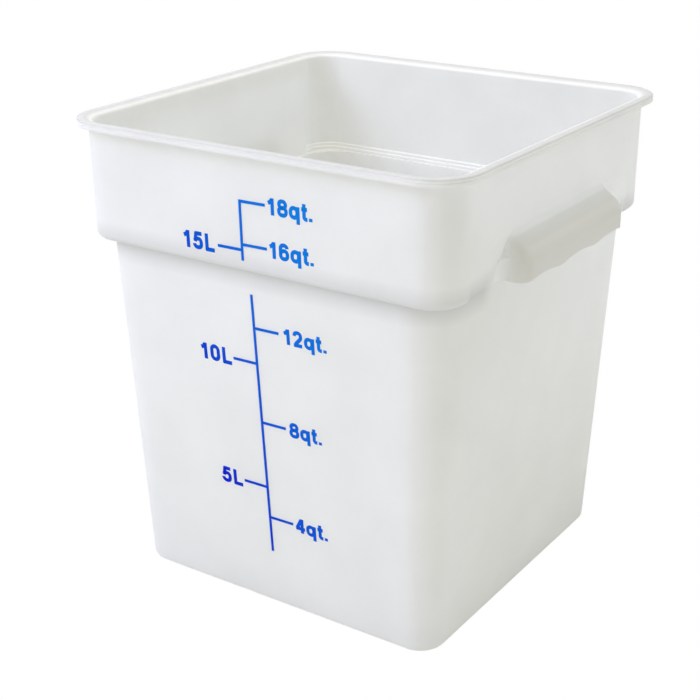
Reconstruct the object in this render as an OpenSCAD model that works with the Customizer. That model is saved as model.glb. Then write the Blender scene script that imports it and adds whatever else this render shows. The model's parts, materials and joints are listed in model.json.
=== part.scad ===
// Square tub for proofing dough, one moulding in natural white polyethylene, with a printed scale.
// Millimetres, Z up. The origin is on the table, under the middle of the base.
// X runs from grip to grip, and the printed scale is on the face towards -Y.
// Every wall is one cross-section, drawn as (s, z): s is the distance out from the line
// that the corners turn about, so the same drawing makes the straight walls and the corners.

/* [Overall] */
// Height from the table to the top of the rim
height = 320; // [290:1:360]
// Width over the rim, from grip side to grip side
rim_w = 290; // [260:1:340]
// Depth over the rim, from the scale to the back
rim_d = 286; // [256:1:340]
// Thickness of the walls
wall = 2.8; // [2.2:0.1:3.4]

/* [Lower tub] */
// Height of the ledge, where the lower tub meets the band
ledge_z = 241; // [225:1:255]
// How far the foot stands in from the outer edge of the rim
foot_inset = 26; // [22:0.5:30]
// How far the top of the lower tub stands in from the outer edge of the rim
shoulder_inset = 13.4; // [12:0.1:15]
// Radius of the corners at the foot, seen from above
foot_corner_r = 18; // [15:0.5:24]
// Rounding between the walls and the base, outside
base_round_r = 5; // [2:0.5:8]
// Rounding between the walls and the floor, inside
floor_round_r = 9; // [4:0.5:12]
// Thickness of the floor
floor_t = 3; // [2.4:0.1:4]
// Width of the ring that the tub stands on
foot_ring_w = 12; // [9:0.5:14]
// How far the middle of the base is lifted off the table
base_lift = 1.5; // [0.5:0.1:2.5]
// Width of the round gate mark in the middle of the base
gate_d = 16; // [8:1:24]
// Depth of the gate mark
gate_depth = 0.7; // [0.3:0.1:1]

/* [Band] */
// How much further out the band stands at the rim than at the ledge
band_draft = 0.6; // [0:0.1:2]
// Rounding under the outer edge of the band
band_round_r = 5; // [2:0.5:7]
// Thickness of the ledge up to its lowest tread
ledge_t = 4.6; // [3:0.1:6]
// Width of each small tread above the ledge, inside
tread_w = 1.3; // [0.8:0.1:1.5]
// Rise of each small tread
tread_h = 2.3; // [1.5:0.1:3]
// Number of small treads
tread_count = 2; // [1:1:2]

/* [Rim] */
// Radius of the rim's corners, seen from above
rim_corner_r = 30; // [27:0.5:34]
// How far the rim stands out over the band
rim_overhang = 7.2; // [6:0.1:8.5]
// Height of the turned-down outer edge of the rim
lip_h = 4.8; // [4:0.1:7]
// Thickness of that outer edge
lip_t = 2.2; // [1.6:0.1:3]
// Thickness of the rim over its channel
rim_t = 2.3; // [1.8:0.1:2.6]
// Width of the flat top, where a lid would bear
flat_w = 4.5; // [3:0.1:5.5]
// Drop of the top from the flat to the inner wall
inner_drop = 1.6; // [0.8:0.1:2]
// Rounding of the rim's edges
rim_round_r = 0.9; // [0.5:0.1:1.2]
// Radius of the fine groove along the outer edge
groove_r = 0.45; // [0.3:0.05:0.6]

/* [Hollow beside each grip] */
// Height of the hollow above the ledge
dent_h = 30; // [24:1:40]
// How far from the scale face each hollow starts
dent_end = 29.5; // [27:0.5:34]
// Width of the turned-in edge at the foot of the hollow
dent_edge_w = 6; // [5:0.5:7]
// Depth of that edge at the foot, as a part of the full depth
dent_edge_part = 0.45; // [0.3:0.05:0.6]
// Height of the steep face under the ledge, where the hollow starts
under_h = 10; // [6:0.5:12]

/* [Grips] */
// Length of each grip
grip_len = 137; // [124:1:150]
// How far each grip stands out from the band
grip_reach = 15; // [13:0.5:20]
// Rounding of the grip's corners, seen from above
grip_corner_r = 4; // [3:0.5:6]
// Rounding between the ends of the grip and the wall
grip_root_r = 7; // [3:0.5:9]
// Height of the grip's lip above the ledge
lip_rise = 2.6; // [0:0.1:6]
// Height of the upright face, from the lip to the sloping top
face_h = 17; // [12:0.5:20]
// Angle of the sloping top to the level
top_angle = 34; // [25:1:45]
// Thickness of the grip's shell
grip_wall = 3; // [2.4:0.1:3.6]
// Rounding between the sloping top and the face
brow_r = 5; // [4:0.5:8]
// Rounding between the sloping top and the band
throat_r = 10; // [6:0.5:16]
// Number of finger scallops in the lip
scallop_count = 3; // [2:1:4]
// Distance between the scallops
scallop_pitch = 47; // [34:1:50]
// Width of each scallop
scallop_w = 40; // [20:1:44]
// Depth of each scallop
scallop_depth = 2; // [1:0.1:4]

/* [Printed scale] */
// Place of the foot of the upright line, sideways from the middle
scale_x = -1.5; // [-40:0.5:20]
// How far the scale leans to the left, in degrees, because it is printed a little askew
scale_lean = 1; // [-2:0.1:2]
// Width of the printed lines
line_w = 1.5; // [1:0.1:2.5]
// Length of a tick, from the middle of the upright line
tick_len = 18.6; // [12:0.1:24]
// Thickness of the ink
ink_t = 0.12; // [0.08:0.01:0.3]
// Distance from the foot of the rim down to the top mark
top_mark_gap = 30.16; // [25:0.01:40]
// Litres in one quart
litres_per_quart = 0.946353; // [0.94:0.000001:1.14]
// Gap between the ledge and the end of each upright line
line_gap = 8; // [6:0.5:15]
// Height where the lower line starts
line_foot_z = 42; // [30:1:60]

/* [Hidden] */
$fn = 64;

// Marks to the right, in quarts, and to the left, in litres. Beside each volume stands how far
// above that level the real tub has it printed, as a part of the height, because the print is a
// little out of true.
QUART_MARKS = [[4, -0.0184], [8, -0.0047], [12, 0.0059], [16, 0.0022], [18, 0.0034]];
LITRE_MARKS = [[5, -0.0147], [10, -0.0016], [15, -0.0025]];

// A cut runs this far past the face it opens.
past = 1;

rim_hx = rim_w / 2;
rim_hy = rim_d / 2;
rim_z = height - lip_h;

// The corners of the rim and the band turn about these lines.
band_ax = rim_hx - rim_corner_r;
band_ay = rim_hy - rim_corner_r;
band_top_r = rim_corner_r - rim_overhang;
band_foot_r = band_top_r - band_draft;
band_foot_x = band_ax + band_foot_r;

// The corners of the lower tub turn about these lines.
tub_ax = rim_hx - foot_inset - foot_corner_r;
tub_ay = rim_hy - foot_inset - foot_corner_r;
tub_top_r = foot_corner_r + foot_inset - shoulder_inset;
tub_slope = (tub_top_r - foot_corner_r) / ledge_z;
band_slope = band_draft / (rim_z - ledge_z);

floor_z = base_lift + floor_t;
mould_white = [0.93, 0.94, 0.92];
ink_blue = [0.05, 0.24, 0.80];

// An arc that rounds a corner of a drawing: a and b point along the two edges, away from the
// corner p. It touches each edge at arc_reach from the corner.
function unit(v) = v / norm(v);
function half_angle(a, b) = acos(unit(a) * unit(b)) / 2;
function arc_reach(a, b, r) = r / tan(half_angle(a, b));
function arc_centre(p, a, b, r) = p + unit(unit(a) + unit(b)) * r / sin(half_angle(a, b));

// The sliver between a corner and its arc, taken away from an outer corner or added to an inner one.
module corner_sliver(p, a, b, r) {
    reach = arc_reach(a, b, r);
    centre = arc_centre(p, a, b, r);
    difference() {
        polygon([p, p + unit(a) * reach, centre, p + unit(b) * reach]);
        translate(centre) circle(r);
    }
}

// Carries a cross-section round the four corners and along the four straight walls.
module swept(ax, ay) {
    for (turn = [0, 180]) rotate([0, 0, turn]) {
        translate([ax, ay, 0]) rotate_extrude(angle = 90) children();
        translate([-ax, ay, 0]) rotate([0, 0, 90]) rotate_extrude(angle = 90) children();
        translate([ax, ay, 0]) rotate([90, 0, 0]) linear_extrude(2 * ay) children();
        translate([-ax, ay, 0]) rotate([90, 0, 90]) linear_extrude(2 * ax) children();
    }
}

// A solid with rounded corners, r1 at its foot and r2 at its top.
module rounded_block(ax, ay, z1, z2, r1, r2) {
    translate([-ax, -ay, z1]) cube([2 * ax, 2 * ay, z2 - z1]);
    swept(ax, ay) polygon([[0, z1], [r1, z1], [r2, z2], [0, z2]]);
}

// Lower tub: a tapering wall, a floor lifted off the table and the ring it stands on.
module tub_section() {
    ring_in = foot_corner_r - foot_ring_w;
    floor_r = foot_corner_r - wall + tub_slope * floor_t;
    up = [tub_slope, 1];
    difference() {
        polygon([
            [0, base_lift], [ring_in - base_lift, base_lift], [ring_in, 0], [foot_corner_r, 0],
            [tub_top_r, ledge_z], [tub_top_r - wall, ledge_z], [floor_r, floor_t],
            [ring_in, floor_t], [ring_in - base_lift, floor_z], [0, floor_z]
        ]);
        corner_sliver([foot_corner_r, 0], [-1, 0], up, base_round_r);
    }
    corner_sliver([floor_r, floor_t], [-1, 0], up, floor_round_r);
}

module tub() {
    color(mould_white) {
        swept(tub_ax, tub_ay) tub_section();
        difference() {
            translate([-tub_ax, -tub_ay, base_lift]) cube([2 * tub_ax, 2 * tub_ay, floor_t]);
            translate([0, 0, base_lift - past]) cylinder(h = past + gate_depth, d = gate_d);
        }
    }
}

// Band: the wider collar, with the ledge under it and small treads inside.
module band_section() {
    inner_foot = band_foot_r - wall;
    tread_top = ledge_z + ledge_t + tread_count * tread_h;
    difference() {
        polygon([
            [0, ledge_z], [band_foot_r, ledge_z], [band_top_r, rim_z],
            [band_top_r - wall, rim_z], [inner_foot, tread_top],
            for (i = [1:tread_count]) each [
                [inner_foot - i * tread_w, tread_top - (i - 1) * tread_h],
                [inner_foot - i * tread_w, tread_top - i * tread_h]
            ],
            [0, ledge_z + ledge_t]
        ]);
        corner_sliver([band_foot_r, ledge_z], [-1, 0], [band_slope, 1], band_round_r);
    }
}

// The hollow in each grip side: nothing at its top, and flush with the lower tub at the ledge.
// Its edges turn in sharply, then run on to the deep middle behind the grip.
dent_depth = band_foot_x - (tub_ax + tub_top_r);
dent_y = rim_hy - rim_overhang - dent_end;
dent_mid_y = grip_len / 2;

module dent(out) {
    low = 1 + past / dent_h;
    z_low = ledge_z - past;
    z_top = ledge_z + dent_h;
    face = band_foot_x + band_slope * dent_h;
    plan = [
        [0, dent_y + dent_edge_w], [dent_edge_part * dent_depth * low, dent_y],
        [dent_depth * low, dent_mid_y], [dent_depth * low, -dent_mid_y],
        [dent_edge_part * dent_depth * low, -dent_y], [0, -dent_y - dent_edge_w]
    ];
    foot = [
        [band_foot_x + out, plan[0][1], z_low],
        for (q = plan) [band_foot_x - q[0], q[1], z_low],
        [band_foot_x + out, plan[5][1], z_low]
    ];
    top = [for (side = [1, -1]) each [[face + out, side * dent_y, z_top], [face, side * dent_y, z_top]]];
    hull() polyhedron(concat(foot, top), [[0, 1, 2], [3, 4, 5], [6, 7, 8], [9, 10, 11]]);
    for (side = [0, 1]) mirror([0, side, 0]) steep_face(out);
}

// Beside the grip the ledge has no flat underside. A steep face runs from the lower tub out to
// the hollow, as high as under_h at the hollow's outer end and nothing at the grip. It starts a
// hair outside the lower tub, so that it never ends in the hollow's own corner.
module steep_face(out) {
    hair = 0.3;
    foot_x = band_foot_x - dent_depth + hair;
    edge_x = band_foot_x - dent_edge_part * dent_depth;
    top_x = edge_x + (band_foot_x + band_slope * dent_h - edge_x) * under_h / dent_h;
    face = function (z) foot_x + (top_x - foot_x) * (z - ledge_z) / under_h;
    far_x = band_foot_x + out + past;
    z1 = ledge_z - past / 2;
    z2 = ledge_z + under_h + 2 * past;
    translate([0, dent_y - past, 0]) rotate([90, 0, 0]) linear_extrude(dent_y - dent_mid_y)
        polygon([[face(z1), z1], [far_x, z1], [far_x, z2], [face(z2), z2]]);
}

module band() {
    color(mould_white) difference() {
        union() {
            difference() {
                swept(band_ax, band_ay) band_section();
                rounded_block(
                    tub_ax, tub_ay, ledge_z - past, ledge_z + ledge_t + past,
                    tub_top_r - wall - tub_slope * past,
                    tub_top_r - wall + tub_slope * (ledge_t + past)
                );
            }
            for (side = [0, 1]) mirror([side, 0, 0]) difference() {
                translate([-wall, 0, 0]) dent(wall / 2);
                translate([0, -rim_hy, ledge_z - 2 * past]) cube([rim_w, rim_d, 2 * past]);
            }
        }
        for (side = [0, 1]) mirror([side, 0, 0]) dent(rim_overhang);
    }
}

// Rim: a flat to seat a lid, a slope in to the wall and an outer edge turned down over a channel.
module rim_section() {
    outer = rim_corner_r;
    inner = band_top_r - wall;
    flat_in = outer - flat_w;
    slope_foot = inner + rim_round_r;
    channel_top = height - rim_t;
    difference() {
        polygon([
            [inner, rim_z], [band_top_r, rim_z], [band_top_r, channel_top],
            [outer - lip_t, channel_top], [outer - lip_t, rim_z], [outer, rim_z],
            [outer, height], [flat_in, height], [slope_foot, height - inner_drop],
            [inner, height - inner_drop - rim_round_r]
        ]);
        corner_sliver([outer, height], [-1, 0], [0, -1], rim_round_r);
        corner_sliver([outer, rim_z], [-1, 0], [0, 1], rim_round_r);
        translate([outer, height - lip_h / 2]) circle(groove_r);
    }
    corner_sliver([band_top_r, channel_top], [1, 0], [0, -1], rim_round_r);
}

module rim() {
    color(mould_white) swept(band_ax, band_ay) rim_section();
}

// Grip: a hood open from below, its section drawn as (distance out from the band, z).
lip_z = ledge_z + lip_rise;
grip_root = -dent_depth - wall / 2;

module grip_section(inset, foot) {
    reach = grip_reach - inset;
    root = [0, lip_z + face_h + grip_reach * tan(top_angle) - inset / cos(top_angle)];
    brow = root + reach * [1, -tan(top_angle)];
    down = unit(brow - root);
    up = [0, 1];
    throat = arc_centre(root, up, down, throat_r);
    run = arc_reach(up, down, throat_r);
    outer = inset == 0;
    difference() {
        polygon([
            [grip_root, foot], [reach, foot], brow,
            each outer ? [root + run * down, throat, root + run * up] : [root],
            [grip_root, root[1] + (outer ? run : 0)]
        ]);
        corner_sliver(brow, -up, -down, brow_r - inset);
        if (outer) translate(throat) circle(throat_r);
    }
}

// The grip seen from above: its corners are rounded, and its ends run out into the wall. The
// outline stands a hair outside the section's face, so that the two roundings cross cleanly.
module grip_plan(inset) {
    hair = 0.05;
    reach = grip_reach - inset + hair;
    end_y = grip_len / 2 - inset;
    outer = inset == 0;
    foot_x = grip_root + wall / 2;
    foot = [foot_x + grip_root_r, end_y + grip_root_r];
    difference() {
        union() {
            translate([grip_root, -end_y]) square([reach - grip_root, 2 * end_y]);
            if (outer) translate([grip_root, -foot[1]]) square([foot[0] - grip_root, 2 * foot[1]]);
        }
        for (side = [0, 1]) mirror([0, side]) {
            corner_sliver([reach, end_y], [0, -1], [-1, 0], max(grip_corner_r - inset, 0.5));
            if (outer) translate(foot) circle(grip_root_r);
        }
    }
}

module hood(inset, foot) {
    long = grip_len + 4 * grip_root_r;
    translate([band_foot_x, 0, 0]) intersection() {
        translate([0, long / 2, 0]) rotate([90, 0, 0]) linear_extrude(long) grip_section(inset, foot);
        linear_extrude(height) grip_plan(inset);
    }
}

module grip() {
    difference() {
        hood(0, lip_z);
        hood(grip_wall, lip_z - past);
        band_solid();
        scallops();
    }
}

module band_solid() {
    difference() {
        rounded_block(band_ax, band_ay, ledge_z - past, rim_z, band_foot_r, band_top_r);
        dent(rim_overhang);
    }
}

// Shallow arcs cut up into the lip.
module scallops() {
    r = (scallop_w * scallop_w / 4 + scallop_depth * scallop_depth) / (2 * scallop_depth);
    for (i = [0:scallop_count - 1])
        translate([band_foot_x, (i - (scallop_count - 1) / 2) * scallop_pitch, lip_z + scallop_depth - r])
            rotate([0, 90, 0]) cylinder(h = grip_reach + past, r = r);
}

module grip_right() {
    color(mould_white) grip();
}

module grip_left() {
    color(mould_white) mirror([1, 0, 0]) grip();
}

// Inside area of the tub at a height, from the half widths and the corner radius there.
function area(z, low) =
    let (
        r = low ? foot_corner_r - wall + tub_slope * z : band_foot_r - wall + band_slope * (z - ledge_z),
        hx = (low ? tub_ax : band_ax) + r,
        hy = (low ? tub_ay : band_ay) + r
    ) 4 * hx * hy - (4 - PI) * r * r;

// The area is a quadratic in the height, so Simpson's rule gives the exact volume.
function slice(z1, z2, low) =
    (z2 - z1) / 6 * (area(z1, low) + 4 * area((z1 + z2) / 2, low) + area(z2, low));
function volume_to(z) =
    z < ledge_z ? slice(floor_z, z, true) : slice(floor_z, ledge_z, true) + slice(ledge_z, z, false);

// The height that holds a volume, found by halving.
function level(volume, low = floor_z, high = height, steps = 30) =
    let (mid = (low + high) / 2)
    steps == 0 ? mid
    : volume_to(mid) < volume ? level(volume, mid, high, steps - 1)
    : level(volume, low, mid, steps - 1);

// Lays a mark of the ink on the front face, which leans out by the taper of its wall. x counts
// from the middle of the upright line, and the whole scale is turned by its own lean.
module on_front(x, z, w, h) {
    upper = z > ledge_z;
    taper = atan(upper ? band_slope : tub_slope);
    y = upper ? band_ay + band_foot_r : tub_ay + foot_corner_r;
    z0 = upper ? ledge_z : 0;
    translate([scale_x, -y, z0]) rotate([taper, 0, 0])
        translate([0, -ink_t, (line_foot_z - z0) / cos(taper)]) rotate([0, -scale_lean, 0])
            translate([x, 0, (z - line_foot_z) / cos(taper)]) cube([w, ink_t, h / cos(taper)]);
}

module scale_marks() {
    quart = volume_to(rim_z - top_mark_gap) / QUART_MARKS[len(QUART_MARKS) - 1][0];
    quart_z = [for (mark = QUART_MARKS) level(mark[0] * quart) + mark[1] * height];
    litre_z = [for (mark = LITRE_MARKS) level(mark[0] * quart / litres_per_quart) + mark[1] * height];
    upper_foot = ledge_z + line_gap;
    lower_top = ledge_z - 2 * line_gap;
    left = -line_w / 2;
    color(ink_blue) {
        on_front(left, upper_foot, line_w, max(quart_z) + line_w / 2 - upper_foot);
        on_front(left, line_foot_z, line_w, lower_top - line_foot_z);
        for (z = quart_z) on_front(left, z - line_w / 2, tick_len - left, line_w);
        for (z = litre_z) on_front(-tick_len, z - line_w / 2, tick_len - left, line_w);
    }
}

tub();
band();
rim();
grip_left();
grip_right();
scale_marks();
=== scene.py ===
# %% [markdown]
# A square tub for proofing dough
#
# The tub is one injection moulding in natural white polyethylene, the milky plastic of milk
# jugs, and its blue scale is printed on it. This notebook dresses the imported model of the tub:
# it keeps the frame's sizes, models the moulding as one skin and the print on top of it, gives
# both their materials, and sets up the light and the camera of the photograph.

# %% Load the frame
import json
import math

import bmesh
import bpy
from mathutils import Matrix, Vector

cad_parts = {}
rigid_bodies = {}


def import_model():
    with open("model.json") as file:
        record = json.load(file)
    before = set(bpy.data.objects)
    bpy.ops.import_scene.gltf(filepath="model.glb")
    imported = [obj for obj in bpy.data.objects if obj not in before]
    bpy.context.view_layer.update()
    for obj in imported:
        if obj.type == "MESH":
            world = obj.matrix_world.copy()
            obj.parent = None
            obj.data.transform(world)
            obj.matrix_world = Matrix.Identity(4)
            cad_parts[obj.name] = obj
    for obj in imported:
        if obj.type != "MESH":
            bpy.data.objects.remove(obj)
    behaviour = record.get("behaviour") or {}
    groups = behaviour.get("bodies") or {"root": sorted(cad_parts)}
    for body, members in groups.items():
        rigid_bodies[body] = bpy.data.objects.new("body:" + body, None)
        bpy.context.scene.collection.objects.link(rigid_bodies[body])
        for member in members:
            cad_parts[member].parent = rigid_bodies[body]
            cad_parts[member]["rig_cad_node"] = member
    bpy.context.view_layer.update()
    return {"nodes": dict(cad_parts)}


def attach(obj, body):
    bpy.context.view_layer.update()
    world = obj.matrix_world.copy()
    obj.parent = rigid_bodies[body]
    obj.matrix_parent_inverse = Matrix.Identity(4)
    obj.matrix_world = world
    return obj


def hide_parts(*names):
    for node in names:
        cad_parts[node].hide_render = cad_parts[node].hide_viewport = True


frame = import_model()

MM = 0.001

# %% [markdown]
# Colours are written as they look on a screen, in sRGB hex. Blender mixes light in linear
# values, so one function turns the first into the second.

# %% Helpers for materials


def linear(hex_colour):
    """An sRGB hex colour as linear red, green, blue and alpha."""
    parts = [int(hex_colour[i : i + 2], 16) / 255 for i in (1, 3, 5)]
    return [c / 12.92 if c <= 0.04045 else ((c + 0.055) / 1.055) ** 2.4 for c in parts] + [1]


def add_node(tree, kind, settings=(), **links):
    """One node with its settings and links. A link's name is the socket's, with _ for a space."""
    node = tree.nodes.new(kind)
    for name, value in dict(settings).items():
        if hasattr(node, name):
            setattr(node, name, value)
        else:
            node.inputs[name].default_value = value
    for name, source in links.items():
        tree.links.new(source, node.inputs[name.replace("_", " ")])
    return node


def add_math(tree, operation, *sources):
    """One Math node on one or two sockets, and the socket of its result."""
    node = add_node(tree, "ShaderNodeMath", {"operation": operation})
    for source, socket in zip(sources, node.inputs):
        tree.links.new(source, socket)
    return node.outputs["Value"]


def add_fade(tree, source, start, end, low, high):
    """A value that goes from low to high between two places in mm, and is held outside them."""
    limits = {"From Min": start * MM, "From Max": end * MM, "To Min": low, "To Max": high}
    return add_node(tree, "ShaderNodeMapRange", limits, Value=source).outputs["Result"]


def new_material(name):
    """An empty node material and its tree."""
    material = bpy.data.materials.new(name)
    material.use_nodes = True
    material.node_tree.nodes.clear()
    return material, material.node_tree


# %% [markdown]
# Polyethylene scatters light inside its wall. The side of a wall that faces away from the lamp
# still glows, because most of the light comes through. Subsurface scattering needs a wall much
# thicker than its radius, so a large share of Translucent does this, mixed with a Principled
# shader for the satin surface. A satin mould leaves a fine orange-peel that breaks up the
# highlight. The melt cools unevenly, which leaves faint clouds in the white. The flat top of the
# rim is greyed with painted shade. The outside of the fold under the collar gets painted shade
# as well, in place of the shade under the ledge. The grips get a lighter painted shade, a little
# yellow. The painted shades fade out over some millimetres, so that no edge shows.

# %% Natural polyethylene
POLYETHYLENE_IOR = 1.51
WALL_GRAIN = 1.2 * MM
WALL_CLOUD = 45 * MM
WALL_TONES = ("#F3F4F2", "#F7F8F6")
RIM_TOP = 320


def polyethylene():
    material, tree = new_material("natural_polyethylene_moulded")
    place = add_node(tree, "ShaderNodeTexCoord")
    cloud = add_node(
        tree,
        "ShaderNodeTexNoise",
        {"Scale": 1 / WALL_CLOUD, "Detail": 5.0, "Roughness": 0.6},
        Vector=place.outputs["Object"],
    )
    tone = add_node(tree, "ShaderNodeValToRGB", Fac=cloud.outputs["Fac"])
    for element, position, colour in zip(tone.color_ramp.elements, (0.3, 0.7), WALL_TONES):
        element.position = position
        element.color = linear(colour)
    at = add_node(tree, "ShaderNodeSeparateXYZ", Vector=place.outputs["Object"]).outputs
    side_x = add_math(tree, "ABSOLUTE", at["X"])
    side_y = add_math(tree, "ABSOLUTE", at["Y"])
    # Painted shade: the rim's flat top is greyed towards #D8D9D8.
    rim = add_fade(tree, at["Z"], RIM_TOP - 1.4, RIM_TOP - 0.3, 0, 0.9)
    # Painted shade under the collar's ledge, on the outside faces only and not under the grips, greyed
    # towards #D8D9D8.
    below = add_fade(tree, at["Z"], LEDGE_Z - 14, LEDGE_Z, 0, 0.75)
    above = add_fade(tree, at["Z"], LEDGE_Z, LEDGE_Z + 14, 0.75, 0)
    painted_ledge_shade = add_math(tree, "MINIMUM", below, above)
    painted_ledge_shade = add_math(tree, "MULTIPLY", painted_ledge_shade, add_fade(tree, side_y, 72, 84, 0, 1))
    settings = {"operation": "MULTIPLY_ADD"}
    away = add_node(tree, "ShaderNodeVectorMath", settings, Vector=place.outputs["Object"])
    away.inputs[1].default_value = (1, 1, 0)
    away.inputs[2].default_value = (0, 0, -0.05)
    facing = add_node(tree, "ShaderNodeVectorMath", {"operation": "DOT_PRODUCT"})
    tree.links.new(away.outputs["Vector"], facing.inputs[0])
    tree.links.new(place.outputs["Normal"], facing.inputs[1])
    outside = add_fade(tree, facing.outputs["Value"], -20, 20, 0, 1)
    painted_ledge_shade = add_math(tree, "MULTIPLY", painted_ledge_shade, outside)
    # Painted shade on the grips: a lighter, slightly yellow grey, growing outward from the wall and fading
    # out between 290 and 300 mm high.
    grip = add_fade(tree, side_x, 138, 147, 0, 1)
    grip = add_math(tree, "MULTIPLY", grip, add_fade(tree, at["Z"], 290, 300, 1, 0))
    colour = tone.outputs["Color"]
    # Mixes the painted shades into the wall's cloud tone: grey on the rim top and under the ledge, warm
    # grey on the grips.
    for share, darker in ((add_math(tree, "MAXIMUM", rim, painted_ledge_shade), "#D8D9D8"), (grip, "#EDEDE9")):
        colour = add_node(
            tree, "ShaderNodeMixRGB", {"Color2": linear(darker)}, Fac=share, Color1=colour
        ).outputs["Color"]
    grain = add_node(
        tree,
        "ShaderNodeTexNoise",
        {"Scale": 1 / WALL_GRAIN, "Detail": 2.0, "Roughness": 0.6},
        Vector=place.outputs["Object"],
    )
    bump = add_node(
        tree,
        "ShaderNodeBump",
        {"Strength": 0.08, "Distance": 0.1 * MM},
        Height=grain.outputs["Fac"],
    )
    skin = add_node(
        tree,
        "ShaderNodeBsdfPrincipled",
        {"Roughness": 0.42, "IOR": POLYETHYLENE_IOR},
        Base_Color=colour,
        Normal=bump.outputs["Normal"],
    )
    through = add_node(
        tree,
        "ShaderNodeBsdfTranslucent",
        Color=colour,
        Normal=bump.outputs["Normal"],
    )
    mix = tree.nodes.new("ShaderNodeMixShader")
    mix.inputs["Fac"].default_value = 0.45
    tree.links.new(skin.outputs["BSDF"], mix.inputs[1])
    tree.links.new(through.outputs["BSDF"], mix.inputs[2])
    add_node(tree, "ShaderNodeOutputMaterial", Surface=mix.outputs["Shader"])
    return material


# %% [markdown]
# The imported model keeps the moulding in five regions, and a seam would show where two of them
# meet. The real tub is one skin without a seam, so it is modelled here as one mesh, from the
# frame's sizes. A moulding is drawn the way its mould is cut: one cross-section is carried
# round the tub. Points are written in mm and drawn by extruding one vertex. Each sharp corner of
# the line is then bevelled, which turns it into the arc that the mould has there.

# %% Drawing with points


def start_piece(name):
    """A new mesh with one vertex at the origin, open in edit mode."""
    bpy.ops.object.select_all(action="DESELECT")
    bpy.ops.mesh.primitive_plane_add(size=MM)
    piece = bpy.context.object
    piece.name = name
    bpy.ops.object.mode_set(mode="EDIT")
    bpy.ops.mesh.select_mode(type="VERT")
    bpy.ops.mesh.select_all(action="SELECT")
    bpy.ops.mesh.merge(type="CENTER")
    return piece


def tangent(before, corner, after, radius):
    """How far from a corner an arc of this radius starts."""
    one = (Vector(before) - Vector(corner)).normalized()
    two = (Vector(after) - Vector(corner)).normalized()
    return radius / math.tan(one.angle(two) / 2)


def draw_line(name, points, rounds=(), closed=False):
    """Extrudes one vertex through the points, in mm, and rounds the listed corners."""
    piece = start_piece(name)
    points = [Vector(p) * MM for p in points]
    bpy.ops.transform.translate(value=points[0])
    for start, end in zip(points, points[1:]):
        bpy.ops.mesh.extrude_region_move(TRANSFORM_OT_translate={"value": end - start})
    if closed:
        bpy.ops.mesh.select_all(action="SELECT")
        bpy.ops.mesh.edge_face_add()
        bpy.ops.mesh.delete(type="ONLY_FACE")
    for index, radius, segments in rounds:
        count = len(points)
        near = [points[(index + step) % count] for step in (-1, 0, 1)]
        select(piece, lambda v: (v.co - near[1]).length < 0.01 * MM)
        offset = tangent(*near, radius * MM)
        bpy.ops.mesh.bevel(offset=offset, segments=segments, affect="VERTICES")
    return piece


def select(piece, wanted, kind="verts"):
    """Selects the vertices, edges or faces for which the test holds."""
    bpy.ops.mesh.select_mode(type={"verts": "VERT", "edges": "EDGE", "faces": "FACE"}[kind])
    bpy.ops.mesh.select_all(action="DESELECT")
    mesh = bmesh.from_edit_mesh(piece.data)
    found = [part for part in getattr(mesh, kind) if wanted(part)]
    for part in found:
        part.select_set(True)
    mesh.select_flush_mode()
    bmesh.update_edit_mesh(piece.data)
    return len(found)


# %% [markdown]
# The walls taper while the corners keep turning about upright lines that stay where they are,
# so a corner's radius grows with the height, as it does in the mould. The lower tub turns
# about other lines than the band and the rim do. It is therefore one line, drawn from the
# middle of the base out, up to the ledge, and from the middle of the floor up inside. The
# number before each height is the distance out from the line that the corners turn about.

# %% Sizes of the moulding, in mm
WALL = 2.8
TUB_AXIS = (101, 99)
BAND_AXIS = (115, 113)
LEDGE_Z = 241
LEDGE_TOP = 245.6
TUB_TOP_R = 30.6
TUB_SLOPE = 12.6 / LEDGE_Z
BAND_FOOT_R = 22.2
RIM_FOOT_Z = 315.2
BAND_TOP_R = 22.8
BAND_SLOPE = (BAND_TOP_R - BAND_FOOT_R) / (RIM_FOOT_Z - LEDGE_Z)
CORNER_STEPS = 16

TUB_OUTSIDE = [(0, 1.5), (4.5, 1.5), (6, 0), (18, 0), (TUB_TOP_R, LEDGE_Z)]
TUB_INSIDE = [
    (0, 4.5),
    (4.5, 4.5),
    (6, 3),
    (18 - WALL + 3 * TUB_SLOPE, 3),
    (18 - WALL + LEDGE_TOP * TUB_SLOPE, LEDGE_TOP),
]
BAND_LINE = [
    (17, LEDGE_Z),
    (BAND_FOOT_R, LEDGE_Z),
    (BAND_TOP_R, 317.7),
    (27.8, 317.7),
    (27.8, RIM_FOOT_Z),
    (30, RIM_FOOT_Z),
    (30, 317.1),
    (29.55, 317.6),
    (30, 318.1),
    (30, 320),
    (25.5, 320),
    (20.9, 318.4),
    (20, 317.5),
    (19.4, 250.2),
    (18.1, 250.2),
    (18.1, 247.9),
    (16.8, 247.9),
    (16.8, LEDGE_TOP),
]


# %% Carrying a line round the tub
def sweep(name, axis, line, rounds):
    """Draws a line at the +X wall and carries it round four corners and along four walls."""
    ax, ay = axis
    piece = draw_line(name, [(ax + s, -ay, z) for s, z in line], rounds)
    bpy.ops.mesh.select_all(action="SELECT")
    corners = [(ax, ay), (-ax, ay), (-ax, -ay), (ax, -ay)]
    for (x, y), (last_x, last_y) in zip(corners, [corners[-1]] + corners):
        along = Vector((x - last_x, y - last_y, 0)) * MM
        bpy.ops.mesh.extrude_region_move(TRANSFORM_OT_translate={"value": along})
        bpy.ops.mesh.spin(
            steps=CORNER_STEPS, angle=math.radians(-90), center=(x * MM, y * MM, 0), axis=(0, 0, 1)
        )
    bpy.ops.mesh.select_all(action="SELECT")
    bpy.ops.mesh.remove_doubles(threshold=0.01 * MM)
    return piece


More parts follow.
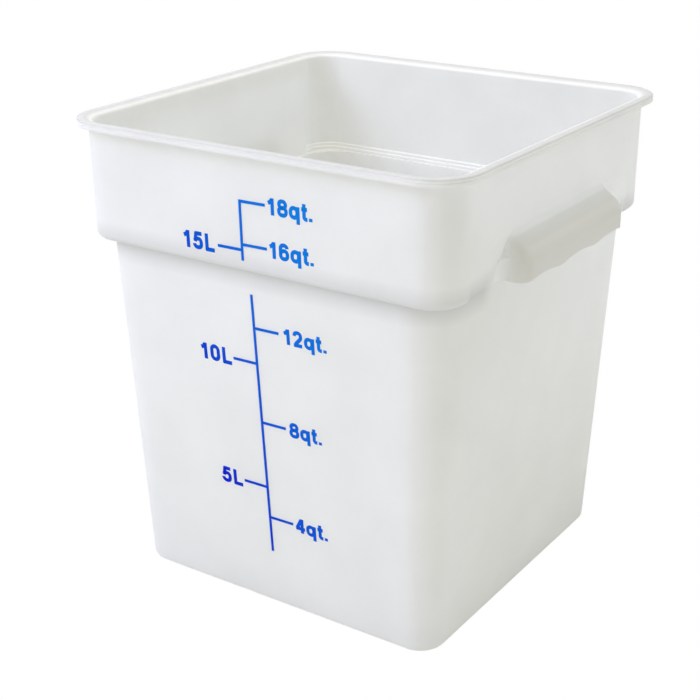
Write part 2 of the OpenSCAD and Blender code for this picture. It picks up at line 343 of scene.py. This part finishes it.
def fill_middle(piece, z):
    """Closes the flat middle that a line from the axis leaves open."""
    ax, ay = [(a + 0.01) * MM for a in TUB_AXIS]
    select(piece, lambda v: abs(v.co.z - z * MM) < 1e-6 and abs(v.co.x) < ax and abs(v.co.y) < ay)
    bpy.ops.mesh.edge_face_add()


outside = sweep("moulding", TUB_AXIS, TUB_OUTSIDE, [(1, 1, 3), (2, 1, 3), (3, 5, 8)])
fill_middle(outside, 1.5)
bpy.ops.object.mode_set(mode="OBJECT")
inside = sweep("tub_inside", TUB_AXIS, TUB_INSIDE, [(1, 1, 3), (2, 1, 3), (3, 9, 10)])
fill_middle(inside, 4.5)
bpy.ops.object.mode_set(mode="OBJECT")
ROUNDS = [(1, 5, 8), (2, 0.9, 4), (4, 0.5, 2), (5, 0.9, 4), (9, 0.9, 4), (10, 1.5, 4), (11, 1.5, 3)]
ROUNDS += [(12, 1.5, 3), (13, 0.8, 3), (14, 0.5, 3), (15, 0.5, 3), (16, 0.5, 3)]
band = sweep("band_and_rim", BAND_AXIS, BAND_LINE, ROUNDS)
bpy.ops.object.mode_set(mode="OBJECT")
print("Three shells with", [len(piece.data.vertices) for piece in (outside, inside, band)], "points")

# %% [markdown]
# At the ledge the two sets of corners meet. Filling between the edge loops there makes the flat
# underside of the ledge outside and the flat step on top of it inside, and closes the shell.

# %% Joining the shells at the ledge
moulding = outside
bpy.ops.object.select_all(action="DESELECT")
for piece in (outside, inside, band):
    piece.select_set(True)
bpy.context.view_layer.objects.active = moulding
bpy.ops.object.join()
bpy.ops.object.mode_set(mode="EDIT")
for z in (LEDGE_Z, LEDGE_TOP):
    count = select(
        moulding, lambda e: e.is_boundary and abs(e.verts[0].co.z - z * MM) < 1e-6, "edges"
    )
    bpy.ops.mesh.fill()
    print("Filled between", count, "edges at", z, "mm")
bpy.ops.mesh.select_all(action="SELECT")
bpy.ops.mesh.normals_make_consistent(inside=False)
bpy.ops.object.mode_set(mode="OBJECT")

# %% [markdown]
# Beside each grip the collar is hollowed, so that fingers reach under the grip. The hollow runs
# out to nothing at its top and is flush with the lower tub at the ledge. It is the same shape
# inside as outside: the mould's core and cavity follow each other so that the wall stays even.
# So a body of the hollow's shape, one wall further in, is first added to the inside, and the
# hollow itself is then cut from the outside. Each body is flat-sided, so it is the convex hull
# of its corner points. The other side is a copy turned half round.

# %% Sizes of the hollow, in mm
FACE_X = BAND_AXIS[0] + BAND_FOOT_R
HOLLOW_X = FACE_X - 5.65
HOLLOW_EDGE_X = FACE_X - 2.6
HOLLOW_TOP = LEDGE_Z + 30
HOLLOW_TOP_X = FACE_X + 30 * BAND_SLOPE
HOLLOW_END_Y = 106.3
GRIP_END_Y = 68.5
STEEP_TOP = LEDGE_Z + 10
PAST = 1


def half_turn(piece):
    """The same piece on the other side of the tub, with its own mesh."""
    bpy.ops.object.select_all(action="DESELECT")
    piece.select_set(True)
    bpy.context.view_layer.objects.active = piece
    bpy.ops.object.duplicate()
    copy = bpy.context.object
    bpy.ops.transform.rotate(value=math.pi, orient_axis="Z", center_override=(0, 0, 0))
    bpy.ops.object.transform_apply(location=False, rotation=True, scale=False)
    return copy


def convex_body(name, points):
    """The flat-sided body whose corners are the points."""
    piece = draw_line(name, points)
    bpy.ops.mesh.select_all(action="SELECT")
    bpy.ops.mesh.convex_hull()
    bpy.ops.mesh.select_all(action="SELECT")
    bpy.ops.mesh.normals_make_consistent(inside=False)
    bpy.ops.object.mode_set(mode="OBJECT")
    return piece


def combine(piece, tool, operation):
    """Joins, cuts or trims the piece with a tool and takes the tool away."""
    boolean = piece.modifiers.new("combine", "BOOLEAN")
    boolean.operation = operation
    boolean.solver = "MANIFOLD"
    boolean.object = tool
    bpy.context.view_layer.objects.active = piece
    bpy.ops.object.modifier_apply(modifier=boolean.name)
    bpy.data.objects.remove(tool)


def hollow_body(name, inward, foot_z, outer_x):
    """The hollow's main face, between the ledge and its top, out to outer_x."""
    rise = (foot_z - LEDGE_Z) / (HOLLOW_TOP - LEDGE_Z)
    points = []
    for side in (1, -1):
        for x, y in ((HOLLOW_EDGE_X, HOLLOW_END_Y), (HOLLOW_X, GRIP_END_Y)):
            points.append((x + (HOLLOW_TOP_X - x) * rise - inward, side * y, foot_z))
        points.append((FACE_X - inward, side * (HOLLOW_END_Y + 6), foot_z))
        points.append((HOLLOW_TOP_X - inward, side * HOLLOW_END_Y, HOLLOW_TOP))
        points.append((outer_x, side * HOLLOW_END_Y, HOLLOW_TOP))
        points.append((outer_x, side * (HOLLOW_END_Y + 6), foot_z))
    return convex_body(name, points)


def steep_body(name, side, inward, foot_z, outer_x):
    """The steep face beside the grip, from the lower tub out to the hollow's edge."""
    top_x = HOLLOW_EDGE_X + (HOLLOW_TOP_X - HOLLOW_EDGE_X) / 3
    slope = (top_x - HOLLOW_X) / (STEEP_TOP - LEDGE_Z)
    points = []
    for y in (GRIP_END_Y - PAST, HOLLOW_END_Y - PAST):
        for z in (foot_z, STEEP_TOP + PAST):
            points.append((HOLLOW_X + slope * (z - LEDGE_Z) - inward, side * y, z))
            points.append((max(outer_x, points[-1][0] + 0.1), side * y, z))
    return convex_body(name, points)


for turn in (False, True):
    tools = [("UNION", hollow_body("hollow_inside", WALL, LEDGE_Z + 1.5, 135.0))]
    for side in (1, -1):
        tools.append(("UNION", steep_body("steep_inside", side, WALL, LEDGE_Z + 1.5, 135.0)))
    tools.append(("DIFFERENCE", hollow_body("hollow", 0, LEDGE_Z - 0.02, 141.0)))
    for side in (1, -1):
        tools.append(("DIFFERENCE", steep_body("steep_face", side, 0, LEDGE_Z - 0.02, 141.0)))
    for operation, tool in tools:
        if turn:
            other = half_turn(tool)
            bpy.data.objects.remove(tool)
            tool = other
        combine(moulding, tool, operation)
print("Hollows cut; the moulding has", len(moulding.data.polygons), "faces")

# %% [markdown]
# A grip is a hood that is open below. Its side view is drawn once, with the rounded brow and
# the hollow throat that runs up into the wall, and is pushed from end to end. Bevelling the two
# end outlines gives the ends their soft corners. At each end a fillet leads into the hollowed
# wall: a corner piece with a hollow quarter round, pushed up along the wall's own slant, and
# trimmed by the hood's own side view so that it fades out below the hood's soft edge.

# %% Sizes of a grip, in mm
GRIP_REACH = 15
GRIP_WALL = 3
LIP_Z = LEDGE_Z + 2.6
BROW_Z = LIP_Z + 17
TOP_SLOPE = math.tan(math.radians(34))
ROOT_Z = BROW_Z + GRIP_REACH * TOP_SLOPE
END_RADIUS = 8.5
FILLET_R = 7


def prism(name, points, rounds, push):
    """A closed outline pushed along a vector. It stays in edit mode."""
    piece = draw_line(name, points, rounds, closed=True)
    bpy.ops.mesh.select_all(action="SELECT")
    bpy.ops.mesh.edge_face_add()
    bpy.ops.mesh.extrude_region_move(TRANSFORM_OT_translate={"value": Vector(push) * MM})
    bpy.ops.mesh.select_all(action="SELECT")
    bpy.ops.mesh.normals_make_consistent(inside=False)
    return piece


def side_view(inset, y, wall_side):
    """The face, brow and top of the hood at one y, smaller by an inset, closed by the wall side."""
    reach = GRIP_REACH - inset
    root_z = ROOT_Z - inset * math.hypot(1, TOP_SLOPE)
    outline = [(reach, LIP_Z), (reach, root_z - reach * TOP_SLOPE)]
    outline += [(s, root_z - s * TOP_SLOPE if z is None else z) for s, z in wall_side]
    return [(FACE_X + s, y, z) for s, z in outline]


throat_side = [(0.25, None), (0.25, ROOT_Z + 12), (-1.2, ROOT_Z + 12), (-1.2, ROOT_Z)]
outline = side_view(0, -GRIP_END_Y, throat_side + [(-6.46, LIP_Z)])
hood = prism("hood", outline, [(1, 12, 12), (2, 6, 8)], (0, 2 * GRIP_END_Y, 0))
count = select(
    hood,
    lambda e: abs(e.verts[0].co.y - e.verts[1].co.y) < 1e-7
    and max(v.co.x for v in e.verts) > (FACE_X + 0.26) * MM
    and min(v.co.x for v in e.verts) > FACE_X * MM
    and max(v.co.z for v in e.verts) > (LIP_Z + 1) * MM,
    "edges",
)
bpy.ops.mesh.bevel(offset=END_RADIUS * MM, segments=6, affect="EDGES", clamp_overlap=False)
print("Rounded", count, "edges at the grip's ends")
bpy.ops.object.mode_set(mode="OBJECT")
keep = [(-1.1, ROOT_Z + 13), (-1.1, ROOT_Z), (-6.3, LIP_Z), (-6.3, LIP_Z - 1), (20, LIP_Z - 1)]
points = [(FACE_X + s, -80, z) for s, z in keep + [(20, ROOT_Z + 13)]]
keep_side = prism("keep_side", points, [], (0, 160, 0))
bpy.ops.object.mode_set(mode="OBJECT")
combine(hood, keep_side, "INTERSECT")

slant = Vector((HOLLOW_TOP_X - HOLLOW_X, 0, HOLLOW_TOP - LEDGE_Z)) / (HOLLOW_TOP - LEDGE_Z)
wall_x = HOLLOW_X + slant.x * (LIP_Z - LEDGE_Z) - 0.1
far_x = wall_x + FILLET_R + 0.5
far_y = GRIP_END_Y + FILLET_R + 0.1
for side in (1, -1):
    plan = [
        (wall_x - 1.2, GRIP_END_Y - 2.5),
        (far_x, GRIP_END_Y - 2.5),
        (far_x, GRIP_END_Y - 0.05),
        (wall_x, GRIP_END_Y - 0.05),
        (wall_x, far_y),
        (wall_x - 1.2, far_y),
    ]
    points = [(x, side * y, LIP_Z) for x, y in plan]
    fillet = prism("fillet", points, [(3, FILLET_R, 8)], slant * 32)
    bpy.ops.object.mode_set(mode="OBJECT")
    wall_side = [(-8, None), (-8, LIP_Z - 5)]
    outline = side_view(END_RADIUS - 1, side * (GRIP_END_Y - 1), wall_side)
    trim = prism("trim", outline, [(1, 6, 8)], (0, side * 12, -18))
    bpy.ops.object.mode_set(mode="OBJECT")
    combine(fillet, trim, "INTERSECT")
    combine(hood, fillet, "UNION")

# %% [markdown]
# The cavity is the same side view, one wall smaller. It is cut before the hood joins the
# moulding, so that the collar's wall closes it. The lip gets three finger scallops, cut by
# large cylinders. The other grip is a copy turned half round.

# %% Cavity, scallops and the other grip
SCALLOP_PITCH = 47
SCALLOP_R = 101
SCALLOP_DEPTH = 2

inner_root = ROOT_Z - GRIP_WALL * math.hypot(1, TOP_SLOPE)
inner_end = GRIP_END_Y - GRIP_WALL - 1
outline = side_view(GRIP_WALL, -inner_end, [(0, None), (-9, inner_root), (-9, LIP_Z)])
cavity = prism("cavity", outline, [(1, 9, 12)], (0, 2 * inner_end, 0))
select(cavity, lambda v: v.co.z < (LIP_Z + 0.1) * MM)
bpy.ops.transform.translate(value=(0, 0, -PAST * MM))
bpy.ops.object.mode_set(mode="OBJECT")
combine(hood, cavity, "DIFFERENCE")

for middle in (-SCALLOP_PITCH, 0, SCALLOP_PITCH):
    bpy.ops.object.select_all(action="DESELECT")
    bpy.ops.mesh.primitive_cylinder_add(
        vertices=360,
        radius=SCALLOP_R * MM,
        depth=30 * MM,
        location=(FACE_X * MM, middle * MM, (LIP_Z + SCALLOP_DEPTH - SCALLOP_R) * MM),
        rotation=(0, math.pi / 2, 0),
    )
    combine(hood, bpy.context.object, "DIFFERENCE")

other_hood = half_turn(hood)
combine(moulding, hood, "UNION")
combine(moulding, other_hood, "UNION")
print("Grips joined; the moulding has", len(moulding.data.polygons), "faces")

# %% [markdown]
# The melt enters the mould in the middle of the base. The stub of the gate is cut off there, in
# a shallow round recess that keeps it off the table.

# %% Gate mark under the base
GATE_D = 16
GATE_TOP = 2.2
bpy.ops.object.select_all(action="DESELECT")
bpy.ops.mesh.primitive_cylinder_add(
    vertices=48, radius=GATE_D / 2 * MM, depth=2 * MM, location=(0, 0, (GATE_TOP - 1) * MM)
)
combine(moulding, bpy.context.object, "DIFFERENCE")
print("Gate mark cut; the moulding has", len(moulding.data.polygons), "faces")

# %% [markdown]
# The faces are shaded smooth, except across real edges, and the normals are weighted by area,
# so that flat walls stay flat right up to their roundings.

# %% Shading the moulding
bpy.ops.object.select_all(action="DESELECT")
moulding.select_set(True)
bpy.context.view_layer.objects.active = moulding
bpy.ops.object.shade_smooth_by_angle(angle=math.radians(35))
weigh = moulding.modifiers.new("weigh", "WEIGHTED_NORMAL")
weigh.keep_sharp = True
bpy.ops.object.modifier_apply(modifier=weigh.name)
moulding.data.materials.clear()
moulding.data.materials.append(polyethylene())
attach(moulding, "root")
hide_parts("tub", "band", "rim", "grip_left", "grip_right")
print("The moulding measures", [round(d / MM, 1) for d in moulding.dimensions], "mm")

# %% [markdown]
# The scale is screen-printed in one pass of blue ink. The ink is opaque and flatter than the
# plastic round it. It was laid on thicker towards the lower left, where its blue is deeper, and
# its tone wanders a little everywhere. Ink spreads on a film, so the lines are a copy of the
# frame's marks, merged and grown by 0.15 mm all round.

# %% Screen-printed ink
INK_T = 0.12 * MM
INK_GAIN = 0.15 * MM
INK_PATCH = 9 * MM
INK_RUN = 161 * MM


def printed_ink():
    material, tree = new_material("blue_screen_ink")
    place = add_node(tree, "ShaderNodeTexCoord")
    across = add_node(
        tree,
        "ShaderNodeMapping",
        {
            "Location": (0.02, 0, 0),
            "Rotation": (0, math.radians(21), 0),
            "Scale": (1 / INK_RUN, 1 / INK_RUN, 1 / INK_RUN),
        },
        Vector=place.outputs["Object"],
    )
    run = add_node(tree, "ShaderNodeTexGradient", Vector=across.outputs["Vector"])
    patch = add_node(
        tree,
        "ShaderNodeTexNoise",
        {"Scale": 1 / INK_PATCH, "Detail": 2.0},
        Vector=place.outputs["Object"],
    )
    both = add_node(tree, "ShaderNodeMix", {"Factor": 0.12})
    tree.links.new(run.outputs["Fac"], both.inputs["A"])
    tree.links.new(patch.outputs["Fac"], both.inputs["B"])
    tone = add_node(tree, "ShaderNodeValToRGB", Fac=both.outputs["Result"])
    tone.color_ramp.elements[0].color = linear("#0000BC")
    tone.color_ramp.elements[1].color = linear("#0084DA")
    skin = add_node(
        tree,
        "ShaderNodeBsdfPrincipled",
        {"Roughness": 0.6, "Specular IOR Level": 0.05},
        Base_Color=tone.outputs["Color"],
    )
    add_node(tree, "ShaderNodeOutputMaterial", Surface=skin.outputs["BSDF"])
    return material


ink = printed_ink()
bpy.ops.object.select_all(action="DESELECT")
marks = frame["nodes"]["scale_marks"]
marks.select_set(True)
bpy.context.view_layer.objects.active = marks
bpy.ops.object.duplicate()
lines = bpy.context.object
lines.name = "print_lines"
bpy.ops.object.mode_set(mode="EDIT")
bpy.ops.mesh.select_all(action="SELECT")
bpy.ops.mesh.remove_doubles(threshold=0.01 * MM)
bpy.ops.transform.shrink_fatten(value=INK_GAIN, use_even_offset=True)
bpy.ops.object.mode_set(mode="OBJECT")
lines.data.materials.clear()
lines.data.materials.append(ink)
del lines["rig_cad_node"]
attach(lines, "root")
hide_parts("scale_marks")
print("The lines are", [round(side / MM, 2) for side in lines.dimensions], "mm over all")

# %% [markdown]
# The numerals are a plain bold sans, as such scales have, drawn from single strokes. A stroke is
# a line of points with rounded corners. It becomes a curve with a round section, then a mesh,
# and is pressed flat, so that it has an even width and square ends. Sizes are parts of a
# numeral's height. Strokes that meet at a sharp corner overlap instead.

# %% Strokes of the numerals
STROKE = 0.24
RING = [(0.11, 0.1), (0.57, 0.1), (0.57, 0.9), (0.11, 0.9)]
GLYPHS = {
    "0": (0.78, [(RING, 0.229, "ring")]),
    "1": (0.78, [([(0.43, 0), (0.43, 0.99)], 0, ""), ([(0.14, 0.69), (0.3, 0.76), (0.42, 0.93)], 0.1, "")]),
    "2": (
        0.78,
        [
            ([(0.11, 0.68), (0.13, 0.9), (0.56, 0.9), (0.56, 0.56), (0.18, 0.17)], 0.19, ""),
            ([(0.04, 0.09), (0.64, 0.09)], 0, ""),
        ],
    ),
    "4": (
        0.78,
        [
            ([(0.49, 0), (0.49, 0.99)], 0, ""),
            ([(0.03, 0.3), (0.7, 0.3)], 0, ""),
            ([(0.09, 0.27), (0.44, 0.92)], 0, ""),
        ],
    ),
    "5": (
        0.78,
        [
            ([(0.16, 0.9), (0.64, 0.9)], 0, ""),
            ([(0.24, 0.95), (0.16, 0.42)], 0, ""),
            ([(0.12, 0.47), (0.2, 0.6), (0.58, 0.6), (0.58, 0.1), (0.12, 0.1), (0.1, 0.3)], 0.2, ""),
        ],
    ),
    "6": (
        0.78,
        [
            (
                [(0.57, 0.72), (0.55, 0.9), (0.11, 0.9), (0.11, 0.1), (0.58, 0.1), (0.58, 0.57)]
                + [(0.12, 0.57), (0.12, 0.4)],
                0.2,
                "",
            )
        ],
    ),
    "8": (
        0.78,
        [
            ([(0.1, 0.1), (0.6, 0.1), (0.6, 0.52), (0.1, 0.52)], 0.2, "ring"),
            ([(0.13, 0.53), (0.57, 0.53), (0.57, 0.9), (0.13, 0.9)], 0.18, "ring"),
        ],
    ),
    "q": (
        0.85,
        [
            ([(0.13, 0.09), (0.58, 0.09), (0.58, 0.64), (0.13, 0.64)], 0.22, "ring"),
            ([(0.63, -0.28), (0.63, 0.73)], 0, ""),
        ],
    ),
    "t": (
        0.46,
        [([(0.2, 0.96), (0.2, 0.09), (0.42, 0.09)], 0.12, ""), ([(0.02, 0.65), (0.41, 0.65)], 0, "")],
    ),
    "L": (0.8, [([(0.2, 0), (0.2, 0.99)], 0, ""), ([(0.12, 0.09), (0.74, 0.09)], 0, "")]),
    ".": (0.36, [([(0.18, 0), (0.18, 0.19)], 0, "")]),
}


def draw_stroke(points, radius, kind):
    """One flat stroke of a numeral, 1 mm high in all."""
    points = [(x, y, 0) for x, y in points]
    inner = range(len(points)) if kind == "ring" else range(1, len(points) - 1)
    rounds = [(index, radius, 6) for index in inner] if radius else []
    piece = draw_line("stroke", points, rounds, closed=kind == "ring")
    bpy.ops.object.mode_set(mode="OBJECT")
    bpy.ops.object.convert(target="CURVE")
    piece = bpy.context.object
    piece.data.bevel_depth = STROKE / 2 * MM
    piece.data.bevel_resolution = 3
    piece.data.use_fill_caps = True
    bpy.ops.object.convert(target="MESH")
    return bpy.context.object


def draw_words(name, words):
    """The strokes of some words as one mesh, numerals 1 mm high."""
    strokes = []
    start = 0
    for letter in words:
        width, lines = GLYPHS[letter]
        for points, radius, kind in lines:
            strokes.append(draw_stroke([(x + start, y) for x, y in points], radius, kind))
        start += width
    bpy.ops.object.select_all(action="DESELECT")
    for stroke in strokes:
        stroke.select_set(True)
    bpy.context.view_layer.objects.active = strokes[0]
    bpy.ops.object.join()
    strokes[0].name = name
    return strokes[0]


# %% [markdown]
# The words are laid on the front wall, pressed as flat as ink, and turned with the whole print,
# which leans to the left by one degree.

# %% Printing the words
PRINT_LEAN = math.radians(1)
FRONT_WORDS = [
    ("18qt.", 31.1, 285.2, 32.3),
    ("16qt.", 31.4, 258.4, 32.3),
    ("15L", -39.0, 255.6, 24.5),
    ("12qt.", 34.2, 201.3, 32.0),
    ("10L", -36.8, 178.4, 24.9),
    ("8qt.", 30.8, 136.9, 24.9),
    ("5L", -31.7, 90.2, 17.4),
    ("4qt.", 31.4, 67.2, 25.5),
]


def front_wall(z):
    """How far out the front wall stands at a height, and how much it leans."""
    if z < LEDGE_Z:
        return TUB_AXIS[1] + 18 + TUB_SLOPE * z, math.atan(TUB_SLOPE)
    return BAND_AXIS[1] + BAND_FOOT_R + BAND_SLOPE * (z - LEDGE_Z), math.atan(BAND_SLOPE)


def print_words(words, x, z, width):
    """Prints words of a given width round a point of the front wall, in mm."""
    piece = draw_words("print_" + words.strip("."), words)
    size = width * MM / piece.dimensions.x
    middle = sum((Vector(corner) for corner in piece.bound_box), Vector()) / 8
    out, lean = front_wall(z)
    press = Matrix.Diagonal((size, size, INK_T / (STROKE * MM), 1))
    stand = Matrix.Rotation(-PRINT_LEAN, 4, "Y") @ Matrix.Rotation(math.radians(90) + lean, 4, "X")
    place = Matrix.Translation(Vector((x, -out, z)) * MM - Vector((0, INK_T / 2, 0)))
    piece.data.transform(place @ stand @ press @ Matrix.Translation(-middle))
    bpy.ops.object.shade_smooth()
    piece.data.materials.clear()
    piece.data.materials.append(ink)
    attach(piece, "root")
    return piece


for words in FRONT_WORDS:
    print_words(*words)
print("Printed", [words[0] for words in FRONT_WORDS])

# %% [markdown]
# The stage is a pale floor that runs on without an edge. It is lit from below, as the table under
# such product pictures is, so the tub stays bright down to its foot. To the camera it is white,
# as the photograph's background is, while for lamps it stays a pale floor that takes a shadow.

# %% Floor and world
bpy.ops.object.select_all(action="DESELECT")
bpy.ops.mesh.primitive_plane_add(size=12)
floor = bpy.context.object
floor.name = "floor"


def show_white(tree, light, white, output):
    """White to the camera, in metal and through glass, and the given light to all else."""
    path = add_node(tree, "ShaderNodeLightPath").outputs
    glass = add_math(tree, "SUBTRACT", path["Is Transmission Ray"], path["Is Diffuse Ray"])
    shiny = add_math(tree, "MAXIMUM", path["Is Glossy Ray"], glass)
    mix = tree.nodes.new("ShaderNodeMixShader")
    tree.links.new(add_math(tree, "MAXIMUM", path["Is Camera Ray"], shiny), mix.inputs["Fac"])
    tree.links.new(light, mix.inputs[1])
    tree.links.new(white, mix.inputs[2])
    add_node(tree, output, Surface=mix.outputs["Shader"])


floor_paint, tree = new_material("pale_floor")
paint = add_node(tree, "ShaderNodeBsdfDiffuse", {"Color": linear("#F2F2F0")})
lit = add_node(tree, "ShaderNodeEmission", {"Strength": 0.1})
skin = tree.nodes.new("ShaderNodeAddShader")
tree.links.new(paint.outputs["BSDF"], skin.inputs[0])
tree.links.new(lit.outputs["Emission"], skin.inputs[1])
glow = add_node(tree, "ShaderNodeEmission", {"Strength": 1.0})
show_white(tree, skin.outputs["Shader"], glow.outputs["Emission"], "ShaderNodeOutputMaterial")
floor.data.materials.append(floor_paint)

world = bpy.data.worlds.new("studio")
bpy.context.scene.world = world
world.use_nodes = True
world.node_tree.nodes.clear()
tree = world.node_tree
room = add_node(tree, "ShaderNodeBackground", {"Color": linear("#FFFCED"), "Strength": 0.59})
white = add_node(tree, "ShaderNodeBackground", {"Color": linear("#FFFFFF"), "Strength": 1.0})
show_white(tree, room.outputs["Background"], white.outputs["Background"], "ShaderNodeOutputWorld")


# %% Lamps
def softbox(name, place, aim, size, watts, colour):
    bpy.ops.object.select_all(action="DESELECT")
    bpy.ops.object.light_add(type="AREA", location=place)
    lamp = bpy.context.object
    lamp.name = name
    lamp.data.size = size
    lamp.data.energy = watts
    lamp.data.color = linear(colour)[:3]
    lamp.rotation_mode = "QUATERNION"
    lamp.rotation_quaternion = (Vector(aim) - Vector(place)).to_track_quat("-Z", "Y")
    return lamp


MIDDLE = (0, 0, 0.16)
softbox("key", (-1.0, -1.2, 1.5), MIDDLE, 1.2, 27.7, "#D9DCFF")
softbox("left", (-1.1, 0.1, 1.6), MIDDLE, 0.9, 5.4, "#D8E8FF")
softbox("back_right", (1.0, 1.4, 1.4), MIDDLE, 1.0, 7.5, "#DAE4FF")
softbox("overhead", (0.0, 0.0, 1.4), MIDDLE, 0.4, 5.4, "#FFF2E5")

# %% [markdown]
# The camera stands where the photograph's camera stood, found by fitting the tub's outline:
# about a metre away, on the grip side of the scale, looking a little down.

# %% Camera
CAMERA_PLACE = Vector((0.50665, -0.77282, 0.52314))
CAMERA_YAW = math.radians(-34.254)
CAMERA_PITCH = math.radians(22.224)
CAMERA_ROLL = math.radians(0.416)
FOCAL_LENGTH = 73.24
SENSOR_WIDTH = 36.0

forward = Vector(
    (
        math.cos(CAMERA_PITCH) * math.sin(CAMERA_YAW),
        math.cos(CAMERA_PITCH) * math.cos(CAMERA_YAW),
        -math.sin(CAMERA_PITCH),
    )
)
bpy.ops.object.select_all(action="DESELECT")
bpy.ops.object.camera_add(location=CAMERA_PLACE)
camera = bpy.context.object
camera.rotation_mode = "QUATERNION"
level = forward.to_track_quat("-Z", "Y")
camera.rotation_quaternion = Matrix.Rotation(CAMERA_ROLL, 3, forward).to_quaternion() @ level
camera.data.lens = FOCAL_LENGTH
camera.data.sensor_width = SENSOR_WIDTH
bpy.context.scene.camera = camera
bpy.context.scene.view_settings.view_transform = "Standard"
